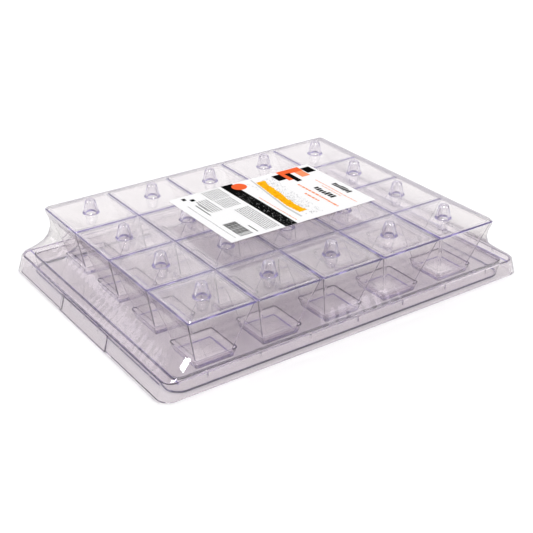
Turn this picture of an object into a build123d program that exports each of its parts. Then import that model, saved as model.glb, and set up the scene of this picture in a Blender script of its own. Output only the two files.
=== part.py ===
"""Clear catering tray with twenty lidded dessert cups, under a clear film hood.

Millimetres, +Z up. The origin is the centre of the tray's footprint, on the surface that the tray stands on.
X runs along the row of five cups, Y along the row of four.
"""

import os
from math import atan, degrees

from build123d import *

os.makedirs("parts", exist_ok=True)

# ---------------------------------------------------------------- driving dimensions
COLUMNS = 5
ROWS = 4
PITCH = 61.0                    # centre to centre of neighbouring cups, both ways

WALL = 1.6                      # the tray's moulded wall
TRAY_LENGTH = 360.0             # outside of the skirt, where it meets the table
TRAY_WIDTH = 260.0
RIM_LENGTH = 352.0              # outside of the rim, at its top
RIM_WIDTH = 258.6
RIM_HEIGHT = 15.0
RIM_CORNER = 9.0
SKIRT_CORNER = 10.0             # the rim's corner, opened out at the table
BASIN_LENGTH = 330.8            # inside of the rim
BASIN_WIDTH = 248.6
BASIN_CORNER = 6.0
BASIN_DRAFT = 0.3               # how far each basin wall leans in at the deck
DECK_HEIGHT = 13.0              # top of the deck that the sockets sink into
FOOT_LENGTH = 335.0             # outside of the inner foot wall, at the table
FOOT_WIDTH = 246.0
FOOT_CORNER = 12.0
FOOT_TOP_CORNER = 8.0           # where the foot wall meets the underside of the rim

SOCKET_TOP = 37.6               # square socket, across the flats at the deck
SOCKET_FLOOR = 31.2
SOCKET_DEPTH = 8.0
SOCKET_CORNER = 3.0

GRIP_LENGTH = 81.0              # proud grip panel in the middle of each short side
GRIP_PROUD = 1.2

RIB_THICKNESS = 1.2             # gussets between the rim and the skirt
RIB_HEIGHT = 5.0
RIB_REACH = 2.4
SHORT_SIDE_RIBS = (0.0, 24.0, 57.5, 104.0)
LONG_SIDE_RIBS = (0.0, 47.0, 94.0, 141.0)

CUP_BASE = 30.4                 # outside of the cup, across the flats
CUP_MOUTH = 58.8
CUP_HEIGHT = 48.3
CUP_WALL = 1.2
CUP_FLOOR = 1.6
CUP_CORNER = 2.2
SEAT_GAP = 0.05                 # under a cup in its socket, and under a lid on its cup

LID_SIDE = 59.8
LID_PLATE = 1.2
LID_CORNER = 1.5
LID_EASE = 0.35                 # rounding of the plate's top edge
LID_RIDGE_DEPTH = 2.0
LID_RIDGE_WALL = 1.0
LID_FIT = 0.4                   # gap between the locating ridge and the cup's mouth

KNOB_HEIGHT = 12.0
KNOB_BASE_RADIUS = 6.6
KNOB_TOP_RADIUS = 4.1
KNOB_WALL = 1.7
KNOB_FLARE = 1.6                # hollow radius where the knob meets the plate
KNOB_CROWN = 2.4                # round at the top edge
KNOB_BEVEL = 1.0                # at the top of the hollow

FILM = 0.6                      # hood thickness
FILM_GAP = 0.5                  # clearance between the hood and what it covers
FILM_HEM = 0.5                  # height of the hood's open edge above the table
NECK_HEIGHT = 40.0              # the hood hugs the cups above this and spreads over the rim below it
NECK_LENGTH = 309.6
NECK_WIDTH = 245.9
NECK_CORNER = 5.0
FLARE_HEIGHT = 27.0
FLARE_LENGTH = 329.0
FLARE_WIDTH = 252.4
FLARE_CORNER = 8.0
HOOD_RIM_CORNER = 10.0
HEM_CORNER = 11.0
SHOULDER_CORNER = 3.0           # where the hood turns over the lids' outer edges

LABEL_LENGTH = 148.0
LABEL_WIDTH = 99.5
LABEL_THICKNESS = 0.3
LABEL_CENTRE = (5.0, -1.8)

# ---------------------------------------------------------------- derived dimensions
SOCKET_FLOOR_HEIGHT = DECK_HEIGHT - SOCKET_DEPTH
CUP_BOTTOM_HEIGHT = SOCKET_FLOOR_HEIGHT + SEAT_GAP
MOUTH_HEIGHT = CUP_BOTTOM_HEIGHT + CUP_HEIGHT
LID_HEIGHT = MOUTH_HEIGHT + SEAT_GAP            # underside of the lid's plate
LID_TOP_HEIGHT = LID_HEIGHT + LID_PLATE
KNOB_TOP_HEIGHT = LID_TOP_HEIGHT + KNOB_HEIGHT
CEILING_HEIGHT = KNOB_TOP_HEIGHT + FILM_GAP
KNOBS_LENGTH = (COLUMNS - 1) * PITCH            # between the centres of the outermost knobs
KNOBS_WIDTH = (ROWS - 1) * PITCH
SHOULDER_LENGTH = KNOBS_LENGTH + LID_SIDE + 2 * FILM_GAP
SHOULDER_WIDTH = KNOBS_WIDTH + LID_SIDE + 2 * FILM_GAP
CEILING_MARGIN = 3 * KNOB_TOP_RADIUS            # flat film past the knobs' centres, both sides together
CEILING_CORNER = 2 * KNOB_TOP_RADIUS
SOCKET_DRAFT = degrees(atan((SOCKET_TOP - SOCKET_FLOOR) / 2 / SOCKET_DEPTH))
SHORT_SIDE_LEAN = (TRAY_LENGTH - RIM_LENGTH) / 2 / RIM_HEIGHT
LONG_SIDE_LEAN = (TRAY_WIDTH - RIM_WIDTH) / 2 / RIM_HEIGHT


def stack(sections):
    """A block with straight walls through rounded rectangles: (height, length, width, corner radius)."""
    with BuildPart() as block:
        for lower, upper in zip(sections, sections[1:]):
            for height, length, width, corner in (lower, upper):
                with BuildSketch(Plane.XY.offset(height)):
                    RectangleRounded(length, width, corner)
            loft(ruled=True)
    return block.part


def offset_section(section, by, height):
    """A rounded rectangle that lies outside another by a wall, or inside it, at a height of its own."""
    _, length, width, corner = section
    return (height, length + 2 * by, width + 2 * by, corner + by)


def leaning_strip(inner, outer, lean, bottom, top):
    """Corners of a strip between two faces, placed at the table, that lean inwards as they rise."""
    return [
        (inner - lean * bottom, bottom),
        (outer - lean * bottom, bottom),
        (outer - lean * top, top),
        (inner - lean * top, top),
    ]


def gusset(face, lean):
    """Corners of a web between the rim's underside and the skirt, whose inner face leans inwards."""
    top = RIM_HEIGHT - WALL / 2
    low = top - RIB_HEIGHT
    return [
        (face - lean * low, low),
        (face - lean * low + WALL / 2, low),
        (face - lean * top + WALL / 2, top),
        (face - lean * top - RIB_REACH, top),
    ]


# ---------------------------------------------------------------- tray
skirt = [
    (0, TRAY_LENGTH, TRAY_WIDTH, SKIRT_CORNER),
    (RIM_HEIGHT, RIM_LENGTH, RIM_WIDTH, RIM_CORNER),
]
foot = [
    (0, FOOT_LENGTH, FOOT_WIDTH, FOOT_CORNER),
    (RIM_HEIGHT - WALL, BASIN_LENGTH + 2 * WALL, BASIN_WIDTH + WALL, FOOT_TOP_CORNER),
]
basin_top = (RIM_HEIGHT, BASIN_LENGTH, BASIN_WIDTH, BASIN_CORNER)

skirt_block = stack(skirt)
skirt_hollow = stack([
    offset_section(skirt[0], -WALL, 0),
    offset_section(skirt[1], -WALL, RIM_HEIGHT - WALL),
])
foot_block = stack(foot)
foot_hollow = stack([
    offset_section(foot[0], -WALL, 0),
    offset_section(foot[1], -WALL, DECK_HEIGHT - WALL),
])
basin_hollow = stack([offset_section(basin_top, -BASIN_DRAFT, DECK_HEIGHT), basin_top])

skirt_inside = TRAY_LENGTH / 2 - WALL
grip_height = RIM_HEIGHT - WALL
grip_face = TRAY_LENGTH / 2 + GRIP_PROUD

with BuildPart() as tray:
    # skirt and rim: one flared shell with a closed top
    add(skirt_block)
    add(skirt_hollow, mode=Mode.SUBTRACT)

    # grip panels: the skirt steps out over the middle of each short side, with the same wall behind
    with BuildSketch(Plane.XZ):
        Polygon(*leaning_strip(skirt_inside, grip_face, SHORT_SIDE_LEAN, 0, grip_height))
        mirror(about=Plane.YZ)
    extrude(amount=GRIP_LENGTH / 2, both=True)
    with BuildSketch(Plane.XZ):
        Polygon(*leaning_strip(
            skirt_inside - WALL, grip_face - WALL, SHORT_SIDE_LEAN, 0, grip_height - WALL
        ))
        mirror(about=Plane.YZ)
    extrude(amount=GRIP_LENGTH / 2 - WALL, both=True, mode=Mode.SUBTRACT)

    # gussets under the rim, inside the skirt
    for place in sorted({side * rib for rib in SHORT_SIDE_RIBS for side in (1, -1)}):
        step_out = GRIP_PROUD if abs(place) < GRIP_LENGTH / 2 else 0
        with BuildSketch(Plane.XZ.offset(place)):
            Polygon(*gusset(skirt_inside + step_out, SHORT_SIDE_LEAN))
            mirror(about=Plane.YZ)
        extrude(amount=RIB_THICKNESS / 2, both=True)
    for place in sorted({side * rib for rib in LONG_SIDE_RIBS for side in (1, -1)}):
        with BuildSketch(Plane.YZ.offset(place)):
            Polygon(*gusset(TRAY_WIDTH / 2 - WALL, LONG_SIDE_LEAN))
            mirror(about=Plane.YZ)
        extrude(amount=RIB_THICKNESS / 2, both=True)

    # foot wall and deck: an upturned tub inside the skirt
    add(foot_block)
    add(foot_hollow, mode=Mode.SUBTRACT)
    add(basin_hollow, mode=Mode.SUBTRACT)

    # sockets: a drafted shell under the deck, then the recess itself
    with BuildSketch(Plane.XY.offset(DECK_HEIGHT)):
        with GridLocations(PITCH, PITCH, COLUMNS, ROWS):
            RectangleRounded(SOCKET_TOP + 2 * WALL, SOCKET_TOP + 2 * WALL, SOCKET_CORNER + WALL)
    extrude(amount=-(SOCKET_DEPTH + WALL), taper=SOCKET_DRAFT)
    with BuildSketch(Plane.XY.offset(DECK_HEIGHT)):
        with GridLocations(PITCH, PITCH, COLUMNS, ROWS):
            RectangleRounded(SOCKET_TOP, SOCKET_TOP, SOCKET_CORNER)
    extrude(amount=-SOCKET_DEPTH, taper=SOCKET_DRAFT, mode=Mode.SUBTRACT)

tray.part.label = "tray"
export_step(tray.part, "parts/tray.step")

# ---------------------------------------------------------------- cup, made once at the centre of the tray
cup_growth = (CUP_MOUTH - CUP_BASE) / CUP_HEIGHT          # across the flats, per unit of height
floor_side = CUP_BASE + CUP_FLOOR * cup_growth - 2 * CUP_WALL
mouth_side = CUP_MOUTH - 2 * CUP_WALL

cup_block = stack([
    (CUP_BOTTOM_HEIGHT, CUP_BASE, CUP_BASE, CUP_CORNER),
    (MOUTH_HEIGHT, CUP_MOUTH, CUP_MOUTH, CUP_CORNER),
])
cup_hollow = stack([
    (CUP_BOTTOM_HEIGHT + CUP_FLOOR, floor_side, floor_side, CUP_CORNER - CUP_WALL),
    (MOUTH_HEIGHT, mouth_side, mouth_side, CUP_CORNER - CUP_WALL),
])

with BuildPart() as cup:
    add(cup_block)
    add(cup_hollow, mode=Mode.SUBTRACT)

# ---------------------------------------------------------------- lid, made once at the centre of the tray
ridge_side = mouth_side - LID_RIDGE_DEPTH * cup_growth - 2 * LID_FIT

with BuildPart() as lid:
    # plate, with its top edge eased
    with BuildSketch(Plane.XY.offset(LID_HEIGHT)):
        RectangleRounded(LID_SIDE, LID_SIDE, LID_CORNER)
    extrude(amount=LID_PLATE)
    fillet(lid.faces().sort_by(Axis.Z)[-1].edges(), radius=LID_EASE)

    # locating ridge: a square ring that drops into the cup's mouth
    with BuildSketch(Plane.XY.offset(LID_HEIGHT)):
        RectangleRounded(ridge_side, ridge_side, CUP_CORNER)
        offset(amount=-LID_RIDGE_WALL, mode=Mode.SUBTRACT)
    extrude(amount=-LID_RIDGE_DEPTH)

    # knob: a round-topped cone that flares into the plate
    flare_edge = KNOB_BASE_RADIUS + 2 * KNOB_FLARE
    with BuildSketch(Plane.XZ):
        Polygon(
            (0, LID_HEIGHT + LID_PLATE / 2),
            (flare_edge, LID_HEIGHT + LID_PLATE / 2),
            (flare_edge, LID_TOP_HEIGHT),
            (KNOB_BASE_RADIUS, LID_TOP_HEIGHT),
            (KNOB_TOP_RADIUS, KNOB_TOP_HEIGHT),
            (0, KNOB_TOP_HEIGHT),
        )
        fillet(vertices().group_by(Axis.Y)[1].sort_by(Axis.X)[0], radius=KNOB_FLARE)
        fillet(vertices().group_by(Axis.Y)[-1].sort_by(Axis.X)[-1], radius=KNOB_CROWN)
    revolve(axis=Axis.Z)

    # the knob is moulded hollow from below
    with BuildSketch(Plane.XZ):
        Polygon(
            (0, LID_HEIGHT),
            (KNOB_BASE_RADIUS - KNOB_WALL, LID_HEIGHT),
            (KNOB_TOP_RADIUS - KNOB_WALL, KNOB_TOP_HEIGHT - KNOB_WALL - KNOB_BEVEL),
            (KNOB_TOP_RADIUS - KNOB_WALL - KNOB_BEVEL, KNOB_TOP_HEIGHT - KNOB_WALL),
            (0, KNOB_TOP_HEIGHT - KNOB_WALL),
        )
    revolve(axis=Axis.Z, mode=Mode.SUBTRACT)

# ---------------------------------------------------------------- twenty cups and twenty lids
sites = [
    ((column - (COLUMNS - 1) / 2) * PITCH, (row - (ROWS - 1) / 2) * PITCH)
    for row in range(ROWS)
    for column in range(COLUMNS)
]
for number, (x, y) in enumerate(sites, start=1):
    for name, piece in (("cup", cup.part), ("lid", lid.part)):
        with BuildPart() as placed:
            with Locations((x, y, 0)):
                add(piece)
        placed.part.label = f"{name}_{number:02d}"
        export_step(placed.part, f"parts/{placed.part.label}.step")

# ---------------------------------------------------------------- shrink film, as a hood that is open below
side_gap = FILM_GAP + GRIP_PROUD
hood_inside = [
    (FILM_HEM, TRAY_LENGTH + 2 * side_gap, TRAY_WIDTH + 2 * FILM_GAP, HEM_CORNER),
    (RIM_HEIGHT + FILM_GAP, RIM_LENGTH + 2 * side_gap, RIM_WIDTH + 2 * FILM_GAP, HOOD_RIM_CORNER),
    (FLARE_HEIGHT, FLARE_LENGTH, FLARE_WIDTH, FLARE_CORNER),
    (NECK_HEIGHT, NECK_LENGTH, NECK_WIDTH, NECK_CORNER),
    (LID_TOP_HEIGHT + FILM_GAP, SHOULDER_LENGTH, SHOULDER_WIDTH, SHOULDER_CORNER),
    (CEILING_HEIGHT, KNOBS_LENGTH + CEILING_MARGIN, KNOBS_WIDTH + CEILING_MARGIN, CEILING_CORNER),
]
hood_outside = [offset_section(section, FILM, section[0]) for section in hood_inside[:-1]]
hood_outside.append(offset_section(hood_inside[-1], 0, CEILING_HEIGHT + FILM))
hood_block = stack(hood_outside)
hood_hollow = stack(hood_inside)

with BuildPart() as shrink_film:
    add(hood_block)
    add(hood_hollow, mode=Mode.SUBTRACT)

shrink_film.part.label = "shrink_film"
export_step(shrink_film.part, "parts/shrink_film.step")

# ---------------------------------------------------------------- paper label, lying on the film
with BuildPart() as paper_label:
    with BuildSketch(Plane.XY.offset(CEILING_HEIGHT + FILM)):
        with Locations(LABEL_CENTRE):
            Rectangle(LABEL_LENGTH, LABEL_WIDTH)
    extrude(amount=LABEL_THICKNESS)

paper_label.part.label = "paper_label"
export_step(paper_label.part, "parts/paper_label.step")
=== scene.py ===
"""Looks for the clear tray of lidded dessert cups.

Clear moulded plastic, thin shrink film, a printed paper label and a white studio.
"""
import math
import random

import bmesh
import bpy
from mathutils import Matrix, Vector, noise

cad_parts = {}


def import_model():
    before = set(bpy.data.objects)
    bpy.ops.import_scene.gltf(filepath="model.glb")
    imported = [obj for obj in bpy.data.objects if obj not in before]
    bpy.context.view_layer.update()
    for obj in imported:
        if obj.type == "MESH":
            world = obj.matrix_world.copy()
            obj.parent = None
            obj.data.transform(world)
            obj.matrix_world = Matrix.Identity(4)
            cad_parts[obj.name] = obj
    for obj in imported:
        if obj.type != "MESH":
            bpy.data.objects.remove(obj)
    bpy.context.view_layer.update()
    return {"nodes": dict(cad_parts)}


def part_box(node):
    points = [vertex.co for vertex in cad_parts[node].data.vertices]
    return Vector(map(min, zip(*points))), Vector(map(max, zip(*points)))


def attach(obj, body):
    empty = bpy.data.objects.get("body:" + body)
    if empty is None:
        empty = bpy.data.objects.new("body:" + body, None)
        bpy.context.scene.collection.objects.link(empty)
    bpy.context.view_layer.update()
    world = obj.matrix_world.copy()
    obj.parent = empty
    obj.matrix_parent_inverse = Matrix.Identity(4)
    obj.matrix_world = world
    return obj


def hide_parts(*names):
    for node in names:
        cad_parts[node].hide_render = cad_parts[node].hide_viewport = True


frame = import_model()

MM = 0.001
TINY = 1e-9

# ---------------------------------------------------------------- sizes, read from the frame
tray_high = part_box("tray")[1]
hem_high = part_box("shrink_film")[1]
label_low, label_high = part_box("paper_label")
lid_nodes = sorted(name for name in frame["nodes"] if name.startswith("lid_"))
cup_nodes = sorted(name for name in frame["nodes"] if name.startswith("cup_"))
lid_boxes = [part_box(name) for name in lid_nodes]
lid_high = Vector(max(box[1][axis] for box in lid_boxes) for axis in range(3))
lid_centres = [(box[0] + box[1]) / 2 for box in lid_boxes]
lid_places = [centre.x for centre in lid_centres]
PITCH = min(abs(a - b) for a in lid_places for b in lid_places if abs(a - b) > MM)
LID_HALF = (lid_high.x, lid_high.y)                     # half sizes of the whole field of lids
KNOB_HALF = (max(lid_places), max(centre.y for centre in lid_centres))
HEM_HALF = (hem_high.x, hem_high.y)                     # half sizes of the film at the table

# ---------------------------------------------------------------- heights above the table
KNOB_HEIGHT = 12.0 * MM
KNOB_TOP = lid_high.z
LID_TOP = KNOB_TOP - KNOB_HEIGHT
DECK_DEPTH = 2.0 * MM           # from the rim down to the deck
RIM_TOP = tray_high.z
DECK_TOP = RIM_TOP - DECK_DEPTH
SOCKET_FLOOR = 5.0 * MM
CUP_FOOT = 5.05 * MM


# ---------------------------------------------------------------- node helpers
def new_material(name):
    """An empty node material with its output node."""
    material = bpy.data.materials.new(name)
    material.use_nodes = True
    nodes = material.node_tree.nodes
    nodes.clear()
    output = nodes.new("ShaderNodeOutputMaterial")
    return material, material.node_tree, output


def add_node(tree, kind, **settings):
    """A node of a kind. Capitalised settings are its inputs, and the others its properties."""
    node = tree.nodes.new(kind)
    for key, value in settings.items():
        if key[0].islower():
            setattr(node, key, value)
        else:
            node.inputs[key.replace("_", " ")].default_value = value
    return node


def object_noise(tree, scale, detail=2.0, roughness=0.5):
    """Noise in object coordinates, as a value socket."""
    place = add_node(tree, "ShaderNodeTexCoord")
    pattern = add_node(tree, "ShaderNodeTexNoise", Scale=scale, Detail=detail, Roughness=roughness)
    tree.links.new(place.outputs["Object"], pattern.inputs["Vector"])
    return pattern.outputs["Fac"]


def bump(tree, height, strength, distance):
    """A bump node over a height socket."""
    node = add_node(tree, "ShaderNodeBump", Strength=strength, Distance=distance)
    tree.links.new(height, node.inputs["Height"])
    return node.outputs["Normal"]


def mapped(tree, value, low, high):
    """A value from 0 to 1, carried to a range."""
    node = add_node(tree, "ShaderNodeMapRange", To_Min=low, To_Max=high)
    tree.links.new(value, node.inputs["Value"])
    return node.outputs["Result"]


def within(tree, value, low, high):
    """1 where a value lies between two numbers, and 0 elsewhere."""
    node = add_node(tree, "ShaderNodeMath", operation="COMPARE")
    node.inputs[1].default_value = (low + high) / 2
    node.inputs[2].default_value = (high - low) / 2
    tree.links.new(value, node.inputs[0])
    return node.outputs["Value"]


def product(tree, first, second):
    """Two values, multiplied."""
    node = add_node(tree, "ShaderNodeMath", operation="MULTIPLY")
    tree.links.new(first, node.inputs[0])
    tree.links.new(second, node.inputs[1])
    return node.outputs["Value"]


# ---------------------------------------------------------------- clear moulded plastic
PLASTIC_IOR = 1.57
PLASTIC_ROUGHNESS = 0.03
FLOW_SCALE = 35.0               # of the flow ripples, per metre
FLOW_DEPTH = 0.4 * MM


def edge_band(tree, place, low, high, core, near, far):
    """1 on a band of a moulding, and 0 elsewhere.

    The band lies between two heights, and between two distances out from a core rectangle, which is
    given by its half sizes.
    """
    split = add_node(tree, "ShaderNodeSeparateXYZ")
    tree.links.new(place, split.inputs[0])
    distance = place
    for operation, constant in (("ABSOLUTE", None), ("SUBTRACT", (*core, 1.0)), ("MAXIMUM", (0, 0, 0))):
        step = add_node(tree, "ShaderNodeVectorMath", operation=operation)
        tree.links.new(distance, step.inputs[0])
        if constant:
            step.inputs[1].default_value = constant
        distance = step.outputs["Vector"]
    length = add_node(tree, "ShaderNodeVectorMath", operation="LENGTH")
    tree.links.new(distance, length.inputs[0])
    in_height = within(tree, split.outputs["Z"], low, high)
    return product(tree, in_height, within(tree, length.outputs["Value"], near, far))


def grid_cell(tree, place):
    """Coordinates from the middle of the nearest cup.

    The grid of cups has an odd number along x and an even number along y, so that it is shifted by half
    a pitch along y.
    """
    shift = add_node(tree, "ShaderNodeVectorMath", operation="ADD")
    shift.inputs[1].default_value = (0, PITCH / 2, 0)
    tree.links.new(place, shift.inputs[0])
    cell = add_node(tree, "ShaderNodeVectorMath", operation="WRAP")
    cell.inputs[1].default_value = (PITCH / 2, PITCH / 2, 1)
    cell.inputs[2].default_value = (-PITCH / 2, -PITCH / 2, -1)
    tree.links.new(shift.outputs["Vector"], cell.inputs[0])
    return cell.outputs["Vector"]


def clear_plastic(name, tint, absorbed, ripple, bands, by_cell=False):
    """Clear moulded polystyrene: it bends light, holds a violet dye, and has flow ripples.

    Tint is the colour of its surface, absorbed how much red, green and blue a metre takes away, and
    ripple the strength of its flow ripples. Bands are painted shade: each mixes a darker colour into the
    surface's own on a thin band, where the clear edges look dark from the light they bend and reflect.
    Each is a colour, and then a band as edge_band takes it.
    """
    material, tree, output = new_material(name)
    shader = add_node(tree, "ShaderNodeBsdfPrincipled", IOR=PLASTIC_IOR, Roughness=PLASTIC_ROUGHNESS)
    shader.inputs["Transmission Weight"].default_value = 1.0
    place = add_node(tree, "ShaderNodeTexCoord").outputs["Object"]
    if by_cell:
        place = grid_cell(tree, place)
    colour = None
    # painted shade: each band lays a darker line of colour over the plastic's own tint
    for painted_shade_colour, *band in bands:
        painted_edge_shade = add_node(tree, "ShaderNodeMix", data_type="RGBA")
        painted_edge_shade.inputs["A"].default_value = (*tint, 1)
        painted_edge_shade.inputs["B"].default_value = (*painted_shade_colour, 1)
        if colour:
            tree.links.new(colour, painted_edge_shade.inputs["A"])
        tree.links.new(edge_band(tree, place, *band), painted_edge_shade.inputs["Factor"])
        colour = painted_edge_shade.outputs["Result"]
    tree.links.new(colour, shader.inputs["Base Color"])
    tree.links.new(bump(tree, object_noise(tree, FLOW_SCALE), ripple, FLOW_DEPTH), shader.inputs["Normal"])
    tree.links.new(shader.outputs["BSDF"], output.inputs["Surface"])
    density = max(absorbed)
    passed = (*[1 - a / density for a in absorbed], 1)
    dye = add_node(tree, "ShaderNodeVolumeAbsorption", Density=density, Color=passed)
    tree.links.new(dye.outputs["Volume"], output.inputs["Volume"])
    return material


# colours of painted shade on the clear mouldings: navy, violet, lilac and blue-violet lines along edges and
# sockets, and a darker mauve over the tray's deck
NAVY = (0.010, 0.007, 0.075)
VIOLET = (0.22, 0.18, 0.52)
LILAC = (0.55, 0.50, 0.82)
BLUE_VIOLET = (0.38, 0.34, 0.85)
MAUVE = (0.80, 0.77, 0.785)
TRAY_TINT = (0.985, 0.972, 0.970)
THIN_TINT = (0.998, 0.994, 0.990)
ENDLESS = 1.0                   # a half size past the whole object
ANYWHERE = ((ENDLESS, ENDLESS), 0.0, 1.0)
# places on the mouldings where shade is painted: a core rectangle, and the least and greatest distance out
# from it
SOCKETS = ((tray_high.x - 28.0 * MM, tray_high.y - 12.0 * MM), -0.5 * MM, 0.5 * MM)
WHOLE_DECK = ((tray_high.x - 15.5 * MM, tray_high.y - 6.5 * MM), -0.5 * MM, 0.8 * MM)
SHORT_RIM_EDGE = ((tray_high.x - 13.0 * MM, ENDLESS), 7.7 * MM, 9.8 * MM)
SHORT_BASIN_EDGE = ((tray_high.x - 20.6 * MM, ENDLESS), 5.4 * MM, 6.6 * MM)
FOOT_EDGE = ((tray_high.x - 24.5 * MM, tray_high.y - 19.0 * MM), 9.5 * MM, 13.0 * MM)
LID_EDGE = ((PITCH / 2 - 1.0 * MM, PITCH / 2 - 1.0 * MM), 0.05 * MM, 3.0 * MM)
TRAY = clear_plastic(
    "tray_clear", TRAY_TINT, (24.0, 30.0, 18.0), 0.10,
    # painted shade: a darker mauve deck, partly the plastic's own tint and partly painted shade, violet
    # lines round the sockets and basin, and navy lines along the short rim and the foot
    [
        (MAUVE, DECK_TOP - 1.7 * MM, DECK_TOP + 0.05 * MM, *WHOLE_DECK),
        (VIOLET, DECK_TOP - 0.7 * MM, DECK_TOP - 0.05 * MM, *SOCKETS),
        (VIOLET, SOCKET_FLOOR + 0.1 * MM, SOCKET_FLOOR + 1.0 * MM, *SOCKETS),
        (NAVY, RIM_TOP - 1.2 * MM, RIM_TOP + 0.1 * MM, *SHORT_RIM_EDGE),
        (VIOLET, RIM_TOP - 1.9 * MM, RIM_TOP + 0.1 * MM, *SHORT_BASIN_EDGE),
        (NAVY, -0.1 * MM, 1.6 * MM, *FOOT_EDGE),
    ],
)
CUP = clear_plastic(
    "cup_clear", THIN_TINT, (5.0, 7.0, 3.5), 0.08,
    # painted shade: a lilac line round each cup's foot
    [(LILAC, CUP_FOOT + 0.1 * MM, CUP_FOOT + 1.25 * MM, *ANYWHERE)],
)
LID = clear_plastic(
    "lid_clear", THIN_TINT, (15.0, 18.0, 6.0), 0.08,
    # painted shade: a blue-violet line round each lid's edge
    [(BLUE_VIOLET, LID_TOP - 1.15 * MM, LID_TOP + 0.1 * MM, *LID_EDGE)],
    by_cell=True,
)
for node, material in [("tray", TRAY)] + [(n, CUP) for n in cup_nodes] + [(n, LID) for n in lid_nodes]:
    mesh = frame["nodes"][node].data
    mesh.materials.clear()
    mesh.materials.append(material)


# ---------------------------------------------------------------- mesh helpers
def fill_grid(sheet, grid):
    """Adds faces over rows of vertices."""
    for row, next_row in zip(grid, grid[1:]):
        for j in range(len(row) - 1):
            sheet.faces.new((row[j], row[j + 1], next_row[j + 1], next_row[j]))


def sheet_object(name, sheet, material):
    """An object in the scene, from a mesh that was built and its material."""
    mesh = bpy.data.meshes.new(name)
    sheet.to_mesh(mesh)
    sheet.free()
    mesh.materials.append(material)
    piece = bpy.data.objects.new(name, mesh)
    bpy.context.collection.objects.link(piece)
    return piece


def thicken(piece, thickness, side):
    """Gives a sheet its thickness, above the modelled surface where side is 1, and below where it is -1."""
    solid = piece.modifiers.new("thickness", "SOLIDIFY")
    solid.thickness = thickness
    solid.offset = side


# ---------------------------------------------------------------- shrink film
FILM_THICKNESS = 0.08 * MM
FILM_GAP = 0.45                 # over the knobs and beside the lids, in millimetres
CEILING = KNOB_TOP + FILM_GAP * MM
FILM_STEPS = 200                # squares of the grid on each side
KNOB_REACH = 5.0 * MM           # the film lies flat this far round a knob
SAG = 0.8 * MM                  # between the knobs
CEILING_END = (0.45, 0.62)      # shares of the grid between which the sag fades out
WALL_START = (0.60, 0.70)       # shares between which the creases of the side walls set in
WALL_END = (0.90, 0.93)         # shares between which they fade out, at the tray's rim
CREASE_DEPTH = 0.55 * MM
CREASES = ((104, 0.0, 0.20), (187, 2.1, 0.15))          # waves in a full turn, phase, share of the depth
MIDDLE_CREASES = 0.30           # their strength in the middle of a side
CORNER_CREASES = 1.5            # what the corners add
CRINKLE_DEPTH = 0.25 * MM
CRINKLE_SCALE = (40.0, 40.0, 60.0)
GLOSS_SHARE = (0.04, 1.0)       # of the light that the film mirrors, face on and at a grazing angle
GRAZING_POWER = 5.0


def film_material(name):
    """Thin shrink film: see-through, with a gloss that catches the lights along its creases."""
    material, tree, output = new_material(name)
    clear = add_node(tree, "ShaderNodeBsdfTransparent", Color=(0.962, 0.957, 0.952, 1))
    gloss = add_node(tree, "ShaderNodeBsdfGlossy", Color=(0.60, 0.57, 0.62, 1), Roughness=0.05)
    crinkles = object_noise(tree, scale=70.0, detail=4.0, roughness=0.55)
    normal = bump(tree, crinkles, strength=0.25, distance=0.6 * MM)
    tree.links.new(normal, gloss.inputs["Normal"])
    facing = add_node(tree, "ShaderNodeLayerWeight")
    tree.links.new(normal, facing.inputs["Normal"])
    steep = add_node(tree, "ShaderNodeMath", operation="POWER")
    steep.inputs[1].default_value = GRAZING_POWER
    tree.links.new(facing.outputs["Facing"], steep.inputs[0])
    mix = add_node(tree, "ShaderNodeMixShader")
    tree.links.new(mapped(tree, steep.outputs["Value"], *GLOSS_SHARE), mix.inputs["Fac"])
    tree.links.new(clear.outputs["BSDF"], mix.inputs[1])
    tree.links.new(gloss.outputs["BSDF"], mix.inputs[2])
    tree.links.new(mix.outputs["Shader"], output.inputs["Surface"])
    return material


def smooth(edges, value):
    """0 below the first edge, 1 above the second, with an eased step between."""
    t = min(max((value - edges[0]) / (edges[1] - edges[0]), 0.0), 1.0)
    return t * t * (3 - 2 * t)


def ring(share, base, out, height, corner):
    """A ring of the film: its share of the grid, half length, half width, height and corner radius.

    Its half sizes are those of a base rectangle and two distances more. These and the corner radius are
    given in millimetres.
    """
    return share, base[0] + out[0] * MM, base[1] + out[1] * MM, height, corner * MM


# the film's rings, from its centre to its hem
PROFILE = [
    # flat over the knobs
    ring(0.00, (0.0, 0.0), (0.0, 0.0), CEILING, 0.0),
    ring(0.50, KNOB_HALF, (5.0, 5.0), CEILING, 7.0),
    # down to the outer lids, and round their edges
    ring(0.62, LID_HALF, (-1.0, -1.0), LID_TOP + 1.6 * MM, 3.0),
    ring(0.65, LID_HALF, (FILM_GAP, FILM_GAP), LID_TOP - 0.2 * MM, 2.5),
    ring(0.67, LID_HALF, (0.3, 0.3), LID_TOP - 3.0 * MM, 2.5),
    # drawn in under the lids, then flared out to the tray
    ring(0.71, LID_HALF, (-1.6, -1.2), LID_TOP - 9.0 * MM, 3.0),
    ring(0.75, LID_HALF, (-1.0, -0.6), LID_TOP - 15.0 * MM, 7.0),
    ring(0.79, LID_HALF, (3.0, 0.8), LID_TOP - 22.0 * MM, 12.0),
    ring(0.83, LID_HALF, (9.5, 3.0), LID_TOP - 28.0 * MM, 17.0),
    ring(0.87, LID_HALF, (17.5, 5.8), LID_TOP - 34.0 * MM, 16.0),
    # over the rim, and down the skirt to the table
    ring(0.90, HEM_HALF, (-7.1, -1.8), RIM_TOP + 1.5 * MM, 9.0),
    ring(0.92, HEM_HALF, (-4.7, -1.1), RIM_TOP - 0.6 * MM, 10.0),
    ring(1.00, HEM_HALF, (-0.1, -0.2), 0.6 * MM, 11.0),
]


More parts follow.
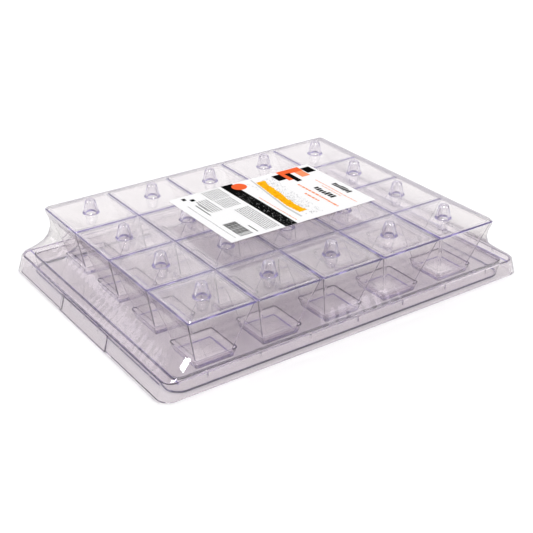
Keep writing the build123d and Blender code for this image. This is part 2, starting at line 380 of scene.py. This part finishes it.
def film_ring(share):
    """Half length, half width, height and corner radius of the film's ring at a share of the grid."""
    for inner, outer in zip(PROFILE, PROFILE[1:]):
        if share <= outer[0]:
            t = (share - inner[0]) / (outer[0] - inner[0])
            return [a + (b - a) * t for a, b in zip(inner[1:], outer[1:])]
    return PROFILE[-1][1:]


def film_point(s, t):
    """The film's surface at a point of the square grid."""
    share = max(abs(s), abs(t))
    half_length, half_width, height, corner = film_ring(share)
    if share < TINY:
        return Vector((0, 0, height))
    x, y = half_length * s / share, half_width * t / share
    core_x = min(max(x, corner - half_length), half_length - corner)
    core_y = min(max(y, corner - half_width), half_width - corner)
    away = Vector((x - core_x, y - core_y))
    if away.length > TINY:
        away = away.normalized() * corner
    x, y = core_x + away.x, core_y + away.y
    # slack between the knobs
    nearest = min((Vector((x, y)) - centre.xy).length for centre in lid_centres)
    height -= SAG * smooth((KNOB_REACH, PITCH * 0.6), nearest) * (1 - smooth(CEILING_END, share))
    # creases and crinkles of the side walls, strongest near the corners
    along = math.atan2(t, s)
    nearness = 1 - abs(abs(s) - abs(t)) / share
    strength = MIDDLE_CREASES + nearness ** 3 * CORNER_CREASES
    crease = sum(size * math.sin(along * waves + phase) for waves, phase, size in CREASES)
    crinkle = noise.noise(Vector(c * scale for c, scale in zip((x, y, height), CRINKLE_SCALE)))
    wall = smooth(WALL_START, share) * (1 - smooth(WALL_END, share))
    out = wall * (CREASE_DEPTH * strength * crease + CRINKLE_DEPTH * crinkle)
    return Vector((x, y, height)) + Vector((s, t, 0)).normalized() * out


def film_grid():
    """The film as one sheet, drawn over the lids and the rim and open below."""
    sheet = bmesh.new()
    shares = [2 * i / FILM_STEPS - 1 for i in range(FILM_STEPS + 1)]
    fill_grid(sheet, [[sheet.verts.new(film_point(s, t)) for s in shares] for t in shares])
    for face in sheet.faces:
        face.smooth = True
    return sheet


film = sheet_object("film_sheet", film_grid(), film_material("film_clear"))
thicken(film, FILM_THICKNESS, 1)
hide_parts("shrink_film")
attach(film, "wrap")


# ---------------------------------------------------------------- paper and ink
PAPER_THICKNESS = 0.12 * MM
INK_THICKNESS = 0.03 * MM       # each ink lies this far above the paper, or above the ink under it
INK_ROUGHNESS = 0.5
DARKER_TONE = 0.95
TOOTH_STRENGTH = 0.12
TONE_SCALE = 900.0              # of the uneven tone, per metre
TOOTH_SCALE = 2500.0            # of the paper's tooth, per metre
TOOTH_DEPTH = 0.05 * MM


def ink(name, colour):
    """Printed paper or ink, with a fine paper tooth and a slight unevenness of tone."""
    material, tree, output = new_material(name)
    shader = add_node(tree, "ShaderNodeBsdfPrincipled", Roughness=INK_ROUGHNESS, Specular_IOR_Level=0.0)
    shade = add_node(tree, "ShaderNodeMix", data_type="RGBA")
    shade.inputs["A"].default_value = (*[c * DARKER_TONE for c in colour], 1)
    shade.inputs["B"].default_value = (*colour, 1)
    tree.links.new(object_noise(tree, TONE_SCALE), shade.inputs["Factor"])
    tree.links.new(shade.outputs["Result"], shader.inputs["Base Color"])
    tooth = bump(tree, object_noise(tree, TOOTH_SCALE), TOOTH_STRENGTH, TOOTH_DEPTH)
    tree.links.new(tooth, shader.inputs["Normal"])
    tree.links.new(shader.outputs["BSDF"], output.inputs["Surface"])
    return material


PAPER = ink("paper_white", (0.81, 0.805, 0.81))
BLACK = ink("ink_black", (0.004, 0.004, 0.004))
GREY = ink("ink_grey", (0.10, 0.10, 0.105))
PALE = ink("ink_pale_grey", (0.50, 0.50, 0.51))
ORANGE = ink("ink_orange", (0.78, 0.12, 0.035))
PEACH = ink("ink_peach", (0.80, 0.27, 0.13))
YELLOW = ink("ink_yellow", (0.83, 0.42, 0.008))
AMBER = ink("ink_amber", (0.80, 0.29, 0.006))

# ---------------------------------------------------------------- paper label
# Places on the label are in millimetres from its centre: left to right along x, near to far along y.
LABEL_CENTRE = (label_low + label_high) / 2
LABEL_HALF = (label_high - label_low) / 2
PAPER_SQUARE = 2.5              # size of a printed patch's squares
WAVE_SCALE = 28.0               # of the paper's waves, per metre
WAVE_HEIGHT = 0.35 * MM
PAPER_DROP = 0.30 * MM          # the film is thinner than the CAD hood, so that the paper lies lower
DASHES = (1.8, 5.5)             # shortest and longest dash of small print
DASH_GAP = 0.8
STROKE_TRIMS = (0.35, 0.15)     # most that a stroke loses at its right and left end, as a share
SPECK_WIDTHS = (0.4, 1.0)       # shares of a speck's size
SPECK_LENGTHS = (0.6, 2.0)
draws = random.Random(7)


def paper_top(x, y):
    """Height of the paper, which waves a little where it bridges the knobs. x and y are in metres."""
    wave = noise.noise(Vector((x * WAVE_SCALE, y * WAVE_SCALE, 5.0)))
    return label_low.z - PAPER_DROP + WAVE_HEIGHT * wave


def patch(sheet, place, columns, rows, lift):
    """Adds a patch to a mesh: place turns the unit square into a point on the label."""
    grid = []
    for i in range(rows + 1):
        line = []
        for j in range(columns + 1):
            x, y = (c * MM for c in place(j / columns, i / rows))
            line.append(sheet.verts.new((LABEL_CENTRE.x + x, LABEL_CENTRE.y + y, paper_top(x, y) + lift)))
        grid.append(line)
    fill_grid(sheet, grid)


def bar(sheet, left, right, near, far, lift=INK_THICKNESS):
    """Adds a printed rectangle."""
    columns = max(1, round((right - left) / PAPER_SQUARE))
    rows = max(1, round((far - near) / PAPER_SQUARE))
    patch(sheet, lambda s, t: (left + s * (right - left), near + t * (far - near)), columns, rows, lift)


def disc(sheet, x, y, radius, lift):
    """Adds a printed disc."""
    def place(s, t):
        u, v = 2 * s - 1, 2 * t - 1
        return x + radius * u * math.sqrt(1 - v * v / 2), y + radius * v * math.sqrt(1 - u * u / 2)
    patch(sheet, place, 8, 8, lift)


def words(sheet, left, right, near, far, height, spacing):
    """Adds lines of small print, as dashes of uneven length. The lines run from far to near."""
    x = left
    while x + height <= right + TINY:
        y = far
        while y > near:
            end = max(near, y - draws.uniform(*DASHES))
            bar(sheet, x, x + height, end, y)
            y = end - DASH_GAP
        x += spacing


def strokes(sheet, left, right, near, far, width, gap):
    """Adds a bold line of print, as upright strokes of uneven height."""
    y = far
    while y - width >= near:
        right_trim, left_trim = (draws.uniform(0.0, most) * (right - left) for most in STROKE_TRIMS)
        bar(sheet, left + left_trim, right - right_trim, y - width, y)
        y -= width + gap


def specks(sheet, count, place, size, lift):
    """Adds small specks: place turns two numbers from 0 to 1 into a point."""
    for _ in range(count):
        x, y = place(draws.random(), draws.random())
        wide, long = (draws.uniform(*shares) * size for shares in (SPECK_WIDTHS, SPECK_LENGTHS))
        bar(sheet, x, x + wide, y, y + long, lift)


def printed(name, material, draw):
    """A layer of print, or the paper itself, which rides with the film."""
    sheet = bmesh.new()
    draw(sheet)
    layer = sheet_object(name, sheet, material)
    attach(layer, "wrap")
    return layer


def draw_paper(sheet):
    """The paper itself, in squares of about 2 mm."""
    half_x, half_y = LABEL_HALF.x / MM, LABEL_HALF.y / MM
    patch(sheet, lambda s, t: ((2 * s - 1) * half_x, (2 * t - 1) * half_y), 74, 50, 0.0)


def draw_black(sheet):
    """Everything in plain black."""
    # broad band across the label
    bar(sheet, -21.0, -9.2, -49.7, 49.7)
    # blocks of the corner pattern
    bar(sheet, 29.5, 38.2, 31.0, 43.5, 2 * INK_THICKNESS)
    bar(sheet, 62.2, 71.5, 31.8, 44.0, 2 * INK_THICKNESS)
    bar(sheet, 42.6, 47.8, 20.8, 41.2, 2 * INK_THICKNESS)
    # two bold lines
    strokes(sheet, 63.4, 69.6, -25.5, -1.0, 2.3, 0.7)
    strokes(sheet, 44.6, 51.8, -27.5, 1.5, 3.0, 0.9)
    # thin lines and small marks beside the small print
    bar(sheet, -60.4, -59.4, 4.0, 28.0)
    bar(sheet, -57.2, -56.4, 12.0, 29.0)
    bar(sheet, -64.0, -60.5, 41.5, 46.0)
    bar(sheet, -58.5, -54.5, 36.5, 41.0)
    bar(sheet, -45.4, -44.4, -44.0, -30.0)


def draw_bars(sheet):
    """A block of black bars of chance widths, which encodes nothing."""
    y = -44.0
    while y < -17.0:
        width = draws.choice((0.45, 0.7, 1.0, 1.35))
        bar(sheet, -61.8, -49.6, y, y + width)
        y += width + draws.choice((0.35, 0.5, 0.7))


def draw_small_print(sheet):
    """Four blocks and one long line of grey dashes."""
    words(sheet, -42.5, -24.5, 28.5, 47.5, 0.8, 2.1)
    words(sheet, -41.8, -25.5, 9.0, 26.5, 0.8, 2.1)
    words(sheet, -37.5, -22.6, -45.0, 2.0, 0.8, 2.1)
    words(sheet, -56.0, -45.5, 8.0, 34.0, 0.9, 2.3)
    words(sheet, -66.8, -66.0, -44.0, 30.0, 0.5, 1.5)


def draw_orange(sheet):
    """A disc on the black band, and the two arms of the corner pattern."""
    disc(sheet, -7.1, 40.6, 7.0, 2 * INK_THICKNESS)
    bar(sheet, 37.8, 62.0, 39.5, 48.8)
    bar(sheet, 37.8, 44.0, 27.0, 39.5)


def draw_peach(sheet):
    """The pale block of the corner pattern, and five lines of orange dashes."""
    bar(sheet, 52.4, 61.2, 26.8, 39.5)
    words(sheet, 38.2, 41.0, -42.0, 15.5, 2.1, 3.0)
    words(sheet, 31.4, 34.2, -24.0, -4.0, 2.0, 3.0)
    words(sheet, 57.6, 58.6, -44.0, 15.0, 0.9, 2.0)
    words(sheet, 54.4, 55.4, -26.0, 1.0, 0.8, 2.0)
    words(sheet, -6.2, -5.2, -44.0, 11.0, 0.8, 2.0)


def draw_board(sheet):
    """A slim grey board under the row of desserts."""
    def edge(s, t):
        x = 9.0 - 11.5 * t + 12.0 * max(0.0, t - 0.75) + s * (1.2 + 0.8 * t)
        return x, 47.0 - 88.0 * t
    patch(sheet, edge, 1, 30, INK_THICKNESS)


def row_edge(t):
    """Left edge of the row of desserts, at a share of its length."""
    return 9.6 - 8.2 * t + 15.0 * max(0.0, t - 0.8)


def draw_desserts(sheet):
    """A row of seventeen yellow desserts, set side by side."""
    for step in range(17):
        start = step / 16
        depth = 8.6 - 0.8 * start + draws.uniform(-1.0, 0.7)
        shift = draws.uniform(-0.3, 0.5)

        def place(s, u, start=start, depth=depth, shift=shift):
            t = start + 0.066 * u
            return row_edge(t) + shift + s * depth + 0.7 * math.sin(math.pi * u), 39.5 - 68.0 * t
        patch(sheet, place, 3, 3, INK_THICKNESS)


def draw_fillings(sheet):
    """Darker dabs along the row of desserts."""
    specks(sheet, 70, lambda s, t: (row_edge(t) + 1.2 + 5.0 * s, 38.5 - 68.0 * t), 1.3, 2 * INK_THICKNESS)


def draw_specks(sheet):
    """Pale specks: on the black band, behind the row of desserts, and under it."""
    def on_band(s, t):
        return -20.0 + 9.5 * s, -48.0 + 78.0 * t

    def behind_row(s, t):
        return 17.0 - 9.0 * t + 12.0 * s * s + 4.0 * t * t, 42.0 - 84.0 * t

    def under_row(s, t):
        return 3.0 * s - 5.8 * (1 - t) ** 2 + 6.0, 42.0 - 84.0 * t
    specks(sheet, 90, on_band, 0.5, 3 * INK_THICKNESS)
    specks(sheet, 420, behind_row, 0.8, INK_THICKNESS / 2)
    specks(sheet, 60, under_row, 1.0, INK_THICKNESS / 2)


for label_layer in (
    ("print_black", BLACK, draw_black),
    ("print_bars", BLACK, draw_bars),
    ("print_small", GREY, draw_small_print),
    ("print_orange", ORANGE, draw_orange),
    ("print_peach", PEACH, draw_peach),
    ("print_board", PALE, draw_board),
    ("print_yellow", YELLOW, draw_desserts),
    ("print_amber", AMBER, draw_fillings),
    ("print_specks", PALE, draw_specks),
):
    printed(*label_layer)
paper = printed("label_sheet", PAPER, draw_paper)
thicken(paper, PAPER_THICKNESS, -1)
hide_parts("paper_label")


# ---------------------------------------------------------------- studio
LAMP_DISTANCE = 1.4
FLOOR_HALF = 60.0               # wide enough to meet the horizon in a low view
FLOOR_DROP = 0.2 * MM           # clear of the tray's foot, so that no faces coincide
FLOOR_WHITE = 0.92
SKY = [
    (0.0, (0.30, 0.28, 0.42)),
    (0.07, (0.60, 0.58, 0.67)),
    (0.20, (1.00, 0.99, 1.00)),
    (0.40, (1.55, 1.55, 1.55)),
    (0.60, (1.45, 1.45, 1.45)),
    (0.90, (1.10, 1.10, 1.10)),
]
CAMERA_TARGET = Vector((-9.8, -14.7, 13.0)) * MM
CAMERA_DISTANCE = 0.928
CAMERA_AZIMUTH = math.radians(-34.79)
CAMERA_ELEVATION = math.radians(27.52)
LIGHT_BOUNCES = 48              # enough for light to leave the stack of clear walls


def panel(name, direction, size, radiance):
    """A soft rectangular lamp, seen only as a highlight on glossy surfaces, that points at the object."""
    lamp = bpy.data.lights.new(name, "AREA")
    lamp.shape = "RECTANGLE"
    lamp.size, lamp.size_y = size
    lamp.energy = radiance * math.pi * size[0] * size[1]
    holder = bpy.data.objects.new(name, lamp)
    holder.location = Vector(direction).normalized() * LAMP_DISTANCE
    holder.rotation_euler = (-holder.location).to_track_quat("-Z", "Y").to_euler()
    holder.visible_diffuse = False
    holder.visible_transmission = False
    bpy.context.collection.objects.link(holder)


def floor():
    """A wide white floor under the object."""
    mesh = bpy.data.meshes.new("floor")
    corners = [(FLOOR_HALF * x, FLOOR_HALF * y, 0) for x, y in ((-1, -1), (1, -1), (1, 1), (-1, 1))]
    mesh.from_pydata(corners, [], [(0, 1, 2, 3)])
    plane = bpy.data.objects.new("floor", mesh)
    plane.location.z = -FLOOR_DROP
    bpy.context.collection.objects.link(plane)
    material, tree, output = new_material("floor_white")
    shader = add_node(tree, "ShaderNodeBsdfDiffuse", Color=(FLOOR_WHITE, FLOOR_WHITE, FLOOR_WHITE, 1))
    tree.links.new(shader.outputs["BSDF"], output.inputs["Surface"])
    mesh.materials.append(material)


def world(bands):
    """A surround whose colour goes by height above the horizon: (sine of the elevation, colour)."""
    surround = bpy.data.worlds.new("studio")
    surround.use_nodes = True
    tree = surround.node_tree
    place = add_node(tree, "ShaderNodeTexCoord")
    split = add_node(tree, "ShaderNodeSeparateXYZ")
    tree.links.new(place.outputs["Generated"], split.inputs[0])
    ramp = add_node(tree, "ShaderNodeValToRGB")
    stops = ramp.color_ramp.elements
    stops[0].position, stops[0].color = bands[0][0], (*bands[0][1], 1)
    stops[1].position, stops[1].color = bands[-1][0], (*bands[-1][1], 1)
    for height, colour in bands[1:-1]:
        stops.new(height).color = (*colour, 1)
    tree.links.new(split.outputs["Z"], ramp.inputs["Fac"])
    tree.links.new(ramp.outputs["Color"], tree.nodes["Background"].inputs["Color"])
    tree.nodes["Background"].inputs["Strength"].default_value = 1.0
    bpy.context.scene.world = surround


def camera():
    """A camera at three quarters, a little above the object."""
    lens = bpy.data.cameras.new("camera")
    lens.sensor_width = 36.0
    lens.lens = 72.1
    lens.clip_start = 0.01
    holder = bpy.data.objects.new("camera", lens)
    back = Vector((
        math.sin(CAMERA_AZIMUTH) * math.cos(CAMERA_ELEVATION),
        -math.cos(CAMERA_AZIMUTH) * math.cos(CAMERA_ELEVATION),
        math.sin(CAMERA_ELEVATION),
    ))
    holder.location = CAMERA_TARGET + back * CAMERA_DISTANCE
    holder.rotation_euler = (-back).to_track_quat("-Z", "Y").to_euler()
    bpy.context.collection.objects.link(holder)
    bpy.context.scene.camera = holder


floor()
world(SKY)
panel("front_top_panel", (-0.32, -0.54, 0.78), (0.62, 0.62), 36.0)
panel("back_left_strip", (-0.50, 0.73, 0.35), (0.10, 0.60), 2.4)
panel("front_right_strip", (0.50, -0.80, 0.30), (0.08, 0.60), 3.6)
camera()
bpy.context.scene.view_settings.view_transform = "Standard"
cycles = bpy.context.scene.cycles
cycles.max_bounces = LIGHT_BOUNCES
cycles.transmission_bounces = LIGHT_BOUNCES
cycles.glossy_bounces = LIGHT_BOUNCES
cycles.diffuse_bounces = 8
cycles.transparent_max_bounces = 32
cycles.blur_glossy = 0.0
